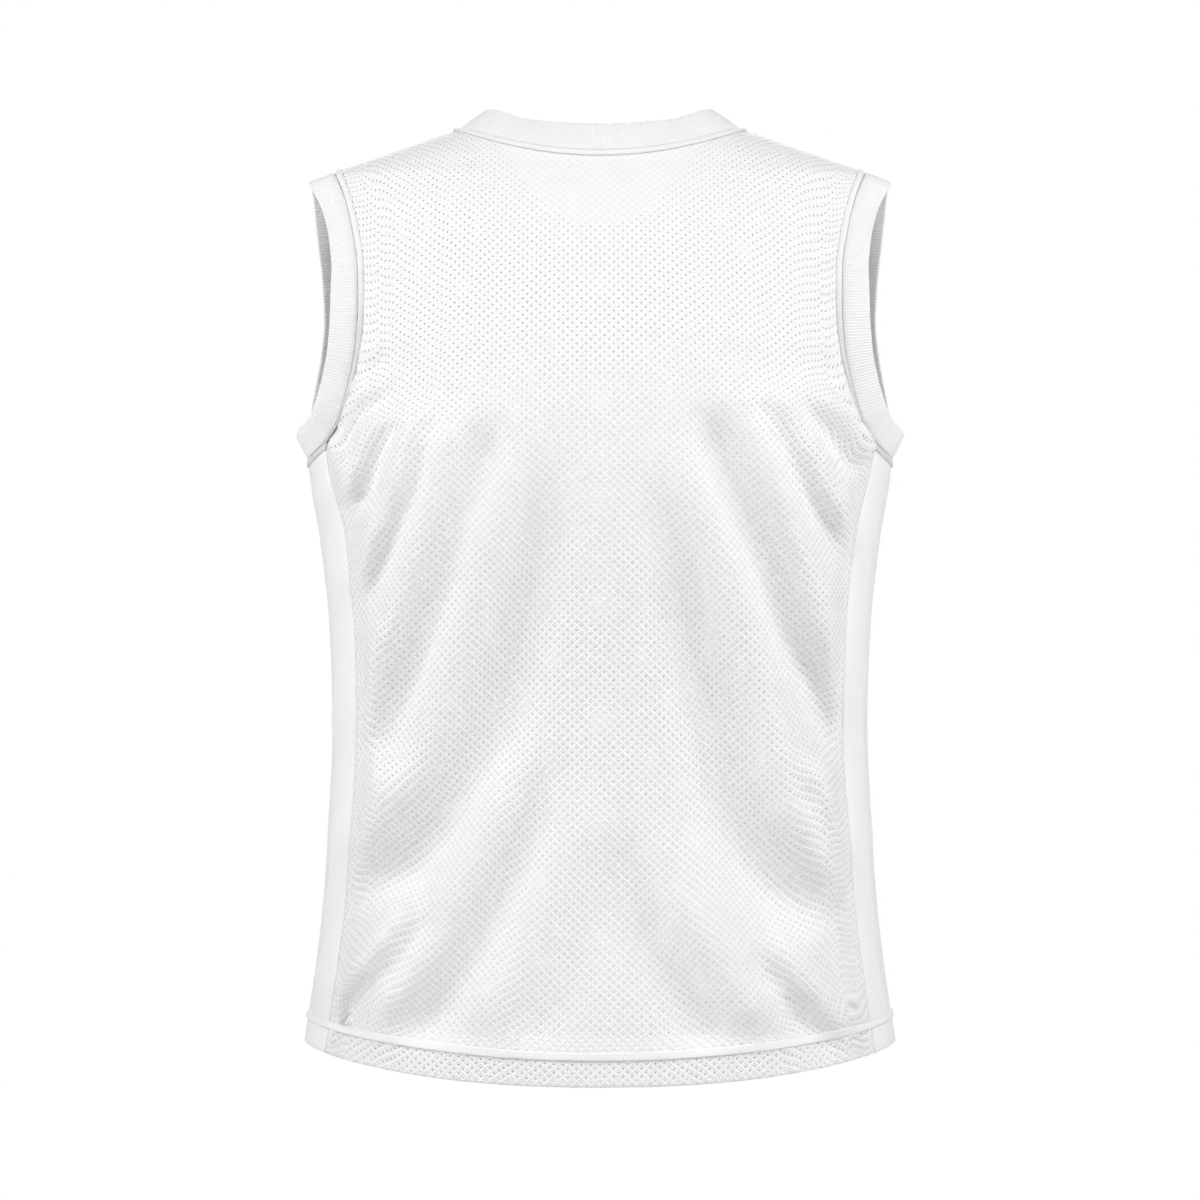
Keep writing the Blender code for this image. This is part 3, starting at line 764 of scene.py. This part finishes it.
# Deletes the cells that don't lie wholly inside the cut
def trimNet(net, outline):
    places = np.array([vert.co[:2] for vert in net.verts])
    wanted = insideOutline(places, outline)
    spots = np.flatnonzero(wanted)
    distance, _ = nearestOutline(places[spots], outline)
    wanted[spots[distance < seam["edge"] + netCloth["trim"]]] = False
    net.verts.ensure_lookup_table()
    lost = [face for face in net.faces if not all(wanted[vert.index] for vert in face.verts)]
    bmesh.ops.delete(net, geom=lost, context="FACES")


def openEdges(net):
    return [edge for edge in net.edges if edge.is_boundary]


def extruded(net, edges, kind):
    made = bmesh.ops.extrude_edge_only(net, edges=edges)["geom"]
    return [part for part in made if isinstance(part, kind)]


# Joins the net's cut edge to the outline, then turns it in: a little at a seam, all the way up at the hem
def closeNet(net, pattern, inside, rise):
    outline = pattern["outline"]
    rim = inOrder(extruded(net, openEdges(net), bmesh.types.BMEdge))
    _, along = nearestOutline(np.array([vert.co[:2] for vert in rim]), outline)
    if (np.diff(along) < 0).mean() > 0.5:
        rim.reverse()
        along = along[::-1]
    first = int(np.argmin(along))
    rim = rim[first:] + rim[:first]
    along = np.sort(along)
    _, cornersAlong = nearestOutline(pattern["corners"], outline)
    atCorner = [int(np.argmin(np.abs(along - there))) for there in cornersAlong]
    along[atCorner] = cornersAlong
    spot, inward = outlineAt(along, outline)

    # a corner's vertex lies towards the middle of the panel, further in than the others
    heart = np.array((0, -0.1))
    inward[atCorner] = [unit(heart - corner) * 1.3 for corner in pattern["corners"]]
    for vert, place, way in zip(rim, spot, inward):
        vert.co = (*(place + way * seam["edge"]), 0)

    hemLength = runAlong(outline[:netCloth["columns"] + 1])[-1]
    ring = {vert: (place, at < hemLength + 1e-6) for vert, place, at in zip(rim, spot, along)}
    for turn, depth in zip(hemTurn, (seam["sunk"], seam["lip"])):
        outer = {}
        for vert in extruded(net, openEdges(net), bmesh.types.BMVert):
            beside = [edge.other_vert(vert) for edge in vert.link_edges]
            place, onHem = outer[vert] = next(ring[other] for other in beside if other in ring)
            vert.co = (*place, 0)
            vert[inside], vert[rise] = turn if onHem else (depth, 0.0)
        ring = outer
    turned = {vert for vert, (_, onHem) in ring.items() if onHem}
    for turn in hemTurn[2:]:
        edges = [edge for edge in openEdges(net) if turned.issuperset(edge.verts)]
        turned = set(extruded(net, edges, bmesh.types.BMVert))
        for vert in turned:
            vert[inside], vert[rise] = turn


# Round holes in the cells, sunk a little under the net
def openHoles(net, cells, crown):
    bmesh.ops.inset_individual(net, faces=cells, thickness=netCloth["holeInset"], depth=0,
                               use_even_offset=True)
    bmesh.ops.subdivide_edges(net, edges=[edge for face in cells for edge in face.edges], cuts=1)
    sunk = Vector((0, netCloth["hang"], netCloth["sink"]))
    for face in cells:
        centre = face.calc_center_median()
        fromNeck = (centre - crown).length - neck["halfWidth"] / 2
        clear = float(smooth(fromNeck / netCloth["neckReach"]))
        radius = netCloth["neckHole"] + (netCloth["holeRadius"] - netCloth["neckHole"]) * clear
        for vert in face.verts:
            away = (vert.co - centre).normalized() * radius
            vert.co = centre + away - sunk
    bmesh.ops.delete(net, geom=cells, context="FACES_ONLY")


# Share across the panel and height on its edge at points of the flat cut
def onPattern(flat, pattern):
    tree = BVHTree.FromPolygons([(*p, 0) for p in pattern["flat"]], pattern["triangles"].tolist())
    hits = [tree.find_nearest((x, y, 0)) for x, y, _ in flat]
    spot = np.array([hit[0][:2] for hit in hits])
    corners = pattern["triangles"][[hit[2] for hit in hits]]
    a, b, c = (pattern["flat"][corners[:, k]] for k in range(3))
    weights = [crossOf(b - spot, c - spot), crossOf(c - spot, a - spot), crossOf(a - spot, b - spot)]
    weights = np.clip(np.stack(weights, 1) / crossOf(b - a, c - a)[:, None], 0, 1)
    weights /= weights.sum(axis=1, keepdims=True)
    return [(pattern[key][corners] * weights).sum(axis=1) for key in ("share", "edge")]


def makeNet(name, facing, node):
    pattern = flatPattern(facing)
    width, length = np.ptp(pattern["flat"], axis=0).round(3)
    print(name, "flat area", round(pattern["area"], 4), "width", width, "length", length)
    net = netGrid(pattern["outline"])
    trimNet(net, pattern["outline"])
    cells = net.faces[:]
    print(name, "cells", len(cells))
    inside = net.verts.layers.float.new("inside")
    rise = net.verts.layers.float.new("rise")
    closeNet(net, pattern, inside, rise)
    openHoles(net, cells, Vector((0, pattern["crown"], 0)))

    # the net's own pattern, then its place on the form
    uv = net.loops.layers.uv.new("lattice")
    for face in net.faces:
        for loop in face.loops:
            a, b = loop.vert.co.x / netCloth["cellAcross"], loop.vert.co.y / netCloth["cellDown"]
            loop[uv].uv = (b + a, b - a)
    flat = np.array([vert.co for vert in net.verts])
    depth = np.array([vert[inside] for vert in net.verts])
    share, edge = onPattern(flat, pattern)
    points, normals = panelPlace(share, edge + np.array([vert[rise] for vert in net.verts]), facing)
    moveTo(net, points + normals * (flat[:, 2] - depth)[:, None])
    return addPiece(name, net, (node,), meshKnit)


backNet = makeNet("back_mesh", back, "back_panel")
frontNet = makeNet("front_mesh", front, "front_panel")


# A flat grid with its own UV map, and the column and row of each of its vertices
def weaveGrid(columns, rows, size):
    mesh = bmesh.new()
    bmesh.ops.create_grid(mesh, x_segments=columns, y_segments=rows, size=1)
    uv = mesh.loops.layers.uv.new("weave")
    for face in mesh.faces:
        for loop in face.loops:
            loop[uv].uv = ((loop.vert.co.x + 1) / 2 * size[0], (loop.vert.co.y + 1) / 2 * size[1])
    column = np.array([round((vert.co.x + 1) / 2 * columns) for vert in mesh.verts])
    row = np.array([round((vert.co.y + 1) / 2 * rows) for vert in mesh.verts])
    return mesh, column, row


# Side panels
sideCloth = {
    "columns": 56,
    "rows": 150,
    "edgeShare": 0.98,      # where the rolled edge begins, of the way to the seam
    "topSunk": 0.0004,      # depth of the edge under the armhole
    "weave": (0.14, 0.47),
}


def makeSidePanel(name, side, node):
    bottom, top = hemCorner[back], armhole["underarm"]
    rows = [(bottom + up, depth) for depth, up in hemTurn[::-1]]
    rows += [(z, 0.0) for z in np.linspace(bottom + hemHalf, top - seam["edge"], sideCloth["rows"])]
    rows += [(top, sideCloth["topSunk"]), (top, seam["lip"])]
    edgeShare, steps = sideCloth["edgeShare"], np.linspace(-1, 1, sideCloth["columns"] + 1)[2:-2]
    columns = [(-1.0, seam["lip"]), (-1.0, seam["sunk"]), (-edgeShare, 0.0)] + [(s, 0.0) for s in steps]
    columns += [(edgeShare, 0.0), (1.0, seam["sunk"]), (1.0, seam["lip"])]
    mesh, column, row = weaveGrid(len(columns) - 1, len(rows) - 1, sideCloth["weave"])
    share, lip = np.array(columns)[column].T
    edge, inside = np.array(rows)[row].T
    points, normals = sidePlace(share, edge, side)
    grid = np.zeros((len(rows), len(columns), 3))
    grid[row, column] = points
    width = runAlong(grid[(len(rows) - 1) // 2])[-1].round(3)
    length = runAlong(grid[:, (len(columns) - 1) // 2])[-1].round(3)
    print(name, "flat width", width, "length", length)
    moveTo(mesh, points - normals * (lip + inside)[:, None])
    return addPiece(name, mesh, (node,), plainKnit)


sidePanels = [makeSidePanel(f"side_{word}_cloth", side, f"side_panel_{word}") for side, word in sides]


# Loops that the ribs and strips are sewn along
def closedRun(points):
    closed = np.vstack([points, points[:1]])
    return closed, runAlong(closed)


def sample(at, run, rows):
    return np.stack([np.interp(at, run, rows[:, k]) for k in range(3)], 1)


def neckLoop():
    x = neck["halfWidth"] * np.sin(np.linspace(-math.pi / 2, math.pi / 2, 600))
    halves = []
    for facing in (back, front):
        z = topHeight(x[1:-1], facing)
        half = np.stack([x[1:-1], bodyY(x[1:-1], z, facing), z], 1)
        halves.append(half[::-facing])
    end = np.array([[-neck["halfWidth"], 0, 0]])
    return np.vstack([end, halves[0], -end, halves[1]])


def armholeLoop(side):
    tip, under = armhole["tipHeight"], armhole["underarm"]
    z = tip + (under - tip) * np.linspace(0, 1, 500)[1:] ** 1.6
    edges = {}
    for facing in (back, front):
        x = side * armholeX[facing](z)
        edges[facing] = np.stack([x, bodyY(x, z, facing), z], 1)
    share = np.linspace(-1, 1, 120)[1:-1]
    below, _ = sidePlace(share, np.full(share.shape, under), side, 0.0)
    start = np.array([[side * armhole["tipWidth"], 0, tip]])
    return np.vstack([start, edges[back], below, edges[front][::-1]])


# Each row of a closed loop's values, averaged with its neighbours
def blur(values, count):
    kernel = np.hanning(2 * count + 3)[1:-1]
    kernel /= kernel.sum()
    return sum(w * np.roll(values, k - count, axis=0) for k, w in enumerate(kernel))


# Evenly spaced points along a loop, with the way off the panel and the way out from the body
def loopFrames(loop, count):
    closed, run = closedRun(loop)
    length = run[-1]
    points = sample(np.linspace(0, length, count, endpoint=False), run, closed)
    span = max(2, int(0.006 / length * count))
    points = blur(points, max(1, span // 3))
    along = np.roll(points, -2, axis=0) - np.roll(points, 2, axis=0)
    normal = blur(normalAt(points), span)
    off = np.cross(normal, along)
    off *= np.sign((off * (points.mean(axis=0) - points)).sum(axis=1, keepdims=True))
    return {"points": points, "off": unit(blur(unit(off), span)), "normal": unit(normal), "length": length}


# A grid rolled up along a loop: place(ring, spot) gives each point from its place round and across
def makeRing(name, count, spots, place, material, node):
    mesh, ring, spot = weaveGrid(count, spots - 1, (1, 1))
    moveTo(mesh, place(ring % count, spot))
    bmesh.ops.remove_doubles(mesh, verts=mesh.verts[:], dist=1e-6)
    return addPiece(name, mesh, (node,), material)


# Ribs: turn is the number of points over which a rib turns a corner
collar = {"width": 0.0250, "ribs": 236, "ridge": 0.00034, "turn": 6, "lean": 0.28, "leanFrom": 0.060}
band = {"width": 0.0210, "ribs": 262, "ridge": 0.00028, "turn": 34}
bandFlare = (
    # height, lean outwards at the back, at the front
    (-0.0327, 0.02, 0.02),
    (-0.0400, 0.12, 0.45),
    (-0.0480, 0.14, 0.64),
    (-0.0700, 0.14, 0.55),
    (-0.1000, 0.30, 0.38),
    (-0.1400, 0.65, 0.28),
    (-0.1700, 0.65, 0.42),
    (-0.1950, 0.62, 0.65),
    (-0.2250, 0.78, 0.85),
    (-0.2400, 0.75, 0.85),
    (-0.2480, 0.50, 0.50),
)
flareOf = bothCurves(bandFlare, 1)
ribCloth = {
    "wall": 0.0024,             # both layers of the folded rib
    "stepsPerRib": 4,
    "rise": (1.0, 0.25, -1.0, 0.25),    # across one rib
}


# Folded rib, from its sewn edge round the fold and back: across, lift and share of the ridges' height at
# each point, with its way out
def ribProfile(width):
    fold = ribCloth["wall"] / 2
    rows = [(seam["gap"], -0.0009, 0.0), (seam["gap"] + 0.0003, -0.0002, 0.3)]
    rows += [(t * width, 0.0004 * math.sin(t * math.pi), 1.0) for t in (0.06, 0.2, 0.4, 0.6, 0.8)]
    for step in range(7):
        angle = math.pi * step / 6
        rows.append((width - fold + fold * math.sin(angle), -fold + fold * math.cos(angle), 1.0))
    rows += [(t * width, -ribCloth["wall"], 1.0) for t in (0.6, 0.3)]
    rows += [(seam["gap"] + 0.0008, -ribCloth["wall"], 0.3), (seam["gap"], -ribCloth["wall"] + 0.0004, 0.0)]
    profile = np.array(rows)
    along = np.gradient(profile[:, :2], axis=0)
    out = unit(np.stack([along[:, 1], -along[:, 0]], 1))
    return profile, out * np.sign(out[4, 1])


def makeRib(name, loop, shape, lean, node):
    count = shape["ribs"] * ribCloth["stepsPerRib"]
    frames = loopFrames(loop, count)
    profile, out = ribProfile(shape["width"])
    rise = np.tile(ribCloth["rise"], shape["ribs"]) * shape["ridge"]
    tilt = blur(lean(frames["points"]), 6)[:, None]
    off, normal, scale = frames["off"], frames["normal"], np.hypot(1, tilt)
    reach = unit(blur((off + tilt * normal) / scale, shape["turn"]))
    lift = blur((normal - tilt * off) / scale, shape["turn"])
    lift = unit(lift - (lift * reach).sum(axis=1, keepdims=True) * reach)

    def place(ring, spot):
        flat = profile[spot, :2] + out[spot] * (rise[ring] * profile[spot, 2])[:, None]
        return frames["points"][ring] + flat[:, :1] * reach[ring] + flat[:, 1:] * lift[ring]

    print(name, "loop", round(frames["length"], 4))
    return makeRing(name, count, len(profile), place, ribKnit, node)


def collarLean(points):
    beyond = np.abs(points[:, 0]) - collar["leanFrom"]
    return collar["lean"] * smooth(beyond / (neck["halfWidth"] - collar["leanFrom"]))


def armholeLean(points):
    return np.where(points[:, 1] < 0, flareOf[back](points[:, 2]), flareOf[front](points[:, 2]))


neckSeam = neckLoop()
armholeSeam = {left: armholeLoop(left), right: armholeLoop(right)}
collarPiece = makeRib("collar_knit", neckSeam, collar, collarLean, "collar_rib")
for side, word in sides:
    makeRib(f"armhole_knit_{word}", armholeSeam[side], band, armholeLean,
                               f"armhole_rib_{word}")


# Moves points onto the cloth of the panels, with the way out there
def ontoCloth(points):
    p = body["power"]
    for _ in range(3):
        facing = np.where(points[:, 1] < 0, back, front)
        x, y, z = points.T
        width, deep = halfWidth(z), onEither(facing, depthAt, z)
        across, along = np.abs(x) / width, np.abs(y) / deep
        level = across ** p + along ** p - 1
        slope = np.hypot(p * across ** (p - 1) / width, p * along ** (p - 1) / deep)
        points = points - normalAt(points) * (level / slope)[:, None]
    normal = normalAt(points)
    return points + normal * onEither(facing, foldHeight, points[:, 0], points[:, 2])[:, None], normal


# Strips: widths, distance from the seam, and lift off the cloth
strip = {"collar": 0.0050, "armhole": 0.0050, "hem": 0.0060, "inset": 0.0006, "lift": 0.0015,
         "edge": 0.0001, "points": 480}


def stripProfile(width):
    rows = (
        # across, lift, as shares of the width and of the full lift
        (0.03, 0.50), (0.12, 0.85), (0.28, 1.00), (0.72, 1.00), (0.88, 0.85), (0.97, 0.50),
    )
    inner = np.array(rows) * (width, strip["lift"])
    return np.vstack([(0.0, strip["edge"]), inner, (width, strip["edge"])])


# A line on the cloth at a distance from a seam, with the way out along it
def besideSeam(loop, count, into):
    frames = loopFrames(loop, count)
    return ontoCloth(frames["points"] - frames["off"] * into)


# The same at a height over the hem's edge: round the back, right side, front and left side
def overHem(up):
    across, around = np.linspace(-1, 1, 120), np.linspace(-1, 1, 30)[1:-1]
    low = {facing: np.full(across.shape, hemCorner[facing] + up) for facing in (back, front)}
    rest = np.full(around.shape, hemCorner[back] + up)
    runs = [panelPlace(across, low[back], back), sidePlace(around, rest, right),
            panelPlace(-across, low[front], front), sidePlace(-around, rest, left)]
    points, normals = (np.vstack(part) for part in zip(*runs))
    return points, unit(blur(normals, 3))


def makeStrip(name, lines, profile, node, material):
    points, normals = (np.array(part) for part in zip(*lines))

    def place(ring, spot):
        return points[spot, ring] + normals[spot, ring] * profile[spot, 1:]

    return makeRing(name, points.shape[1], len(profile), place, material, node)


def makeSeamStrip(name, loop, width, node, material):
    profile = stripProfile(width)
    lines = [besideSeam(loop, strip["points"], strip["inset"] + across) for across in profile[:, 0]]
    return makeStrip(name, lines, profile, node, material)


collarStrip = makeSeamStrip("collar_tape", neckSeam, strip["collar"], "collar_strip", collarTape)
for side, word in sides:
    makeSeamStrip(f"armhole_tape_{word}", armholeSeam[side], strip["armhole"],
                                        f"armhole_strip_{word}", armholeTape)


hemProfile = stripProfile(strip["hem"])
hemLines = [overHem(hem["depth"] - strip["hem"] + across) for across in hemProfile[:, 0]]
hemStrip = makeStrip("hem_tape", hemLines, hemProfile, "hem_strip", hemTape)


# Stitches: small rounded lengths of thread in rows on the tapes
stitch = {"pitch": 0.0030, "length": 0.0020, "width": 0.00042, "height": 0.00030, "over": 0.00005}


def makeStitches(name, rows):
    mesh = bmesh.new()
    total = 0
    for points, normals in rows:
        closed, run = closedRun(points + normals * (strip["lift"] + stitch["over"]))
        count = round(run[-1] / stitch["pitch"])
        at = (np.arange(count) + 0.5) / count * run[-1]
        middle = sample(at, run, closed)
        ahead = sample((at + 0.0005) % run[-1], run, closed)
        up = unit(sample(at, run, closedRun(normals)[0]))
        for k in range(count):
            along = Vector(ahead[k] - middle[k]).normalized()
            across = Vector(up[k]).cross(along).normalized()
            out = along.cross(across)
            turn = Matrix((along * stitch["length"] / 2, across * stitch["width"] / 2,
                           out * stitch["height"] / 2)).transposed().to_4x4()
            turn.translation = Vector(middle[k])
            bmesh.ops.create_icosphere(mesh, subdivisions=1, radius=1, matrix=turn)
        total += count
    print(name, total, "stitches")
    return addPiece(name, mesh, (), thread)


collarRows = [besideSeam(neckSeam, 400, into) for into in (0.0014, 0.0048)]
collarStitches = makeStitches("collar_stitches", collarRows)
for side, word in sides:
    edgeRow = besideSeam(armholeSeam[side], 400, 0.0049)
    makeStitches(f"armhole_stitches_{word}", [edgeRow])
hemStitches = makeStitches("hem_stitches", [overHem(up) for up in (0.0190, 0.0230)])


# Floor, camera and light
floorMesh = bmesh.new()
bmesh.ops.create_circle(floorMesh, cap_ends=True, radius=2.6, segments=96)
bmesh.ops.translate(floorMesh, verts=floorMesh.verts[:], vec=(0, 0, -1.32))
floorData = bpy.data.meshes.new("floor")
floorMesh.to_mesh(floorData)
floorMesh.free()
floorPaint, floorTree, floorShader = newMaterial("floorPaint", (0.92, 0.92, 0.92))
feed(floorTree, floorShader, {"Roughness": 0.9, "Sheen Weight": 0.0})
floorData.materials.append(floorPaint)
addObject("floor", floorData)

view = bpy.data.cameras.new("view")
view.lens = 120
viewer = addObject("view", view)
viewer.location = (0, -3.0, -0.3525)
viewer.rotation_euler = (math.pi / 2, 0, 0)
bpy.context.scene.camera = viewer

lampDistance = 2.5
lamps = [
    # name, power, distance, azimuth, elevation, width, height
    ("softboxBack", 4.9, 1.4, 0, 0, 0.5, 0.5),
    ("softboxTop", 6.0, lampDistance, 0, 65, 0.5, 0.5),
]
lampPairs = (
    # name, power, azimuth, elevation
    ("", 10.8, 65, 20),
    ("Side", 11.5, 80, 10),
    ("High", 16.2, 50, 30),
    ("Roof", 2.7, 45, 60),
)
for name, power, azimuth, elevation in lampPairs:
    for word, turn in (("Left", -azimuth), ("Right", azimuth)):
        lamps.append((f"softbox{name}{word}", power, lampDistance, turn, elevation, 0.4, 0.8))
lamps.append(("fillFront", 35.0, lampDistance, 180, 25, 1.2, 1.2))
for name, power, distance, azimuth, elevation, width, height in lamps:
    light = bpy.data.lights.new(name, "AREA")
    light.shape = "RECTANGLE"
    light.size, light.size_y = width, height
    light.energy = power
    lamp = addObject(name, light)
    a, e = math.radians(azimuth), math.radians(elevation)
    away = Vector((math.sin(a) * math.cos(e), -math.cos(a) * math.cos(e), math.sin(e)))
    lamp.location = Vector((0, 0, -0.35)) + away * distance
    lamp.rotation_euler = away.to_track_quat("Z", "Y").to_euler()

# Background: plain white where it is seen, faint where it only lights
world = bpy.data.worlds.new("studio")
bpy.context.scene.world = world
world.use_nodes = True
tree = world.node_tree
tree.nodes.clear()
path = addNode(tree, "LightPath", {})
seen = mathNode(tree, "MAXIMUM", path.outputs["Is Camera Ray"], path.outputs["Is Glossy Ray"])
seen = mathNode(tree, "MAXIMUM", seen, path.outputs["Is Transmission Ray"])
ambient = addNode(tree, "Background", {"Color": (1, 1, 1, 1), "Strength": 0.03})
plain = addNode(tree, "Background", {"Color": (1, 1, 1, 1)})
mix = addNode(tree, "MixShader", {0: seen, 1: ambient.outputs[0], 2: plain.outputs[0]})
addNode(tree, "OutputWorld", {"Surface": mix.outputs[0]})
bpy.context.scene.view_settings.view_transform = "Standard"

print("scene done")
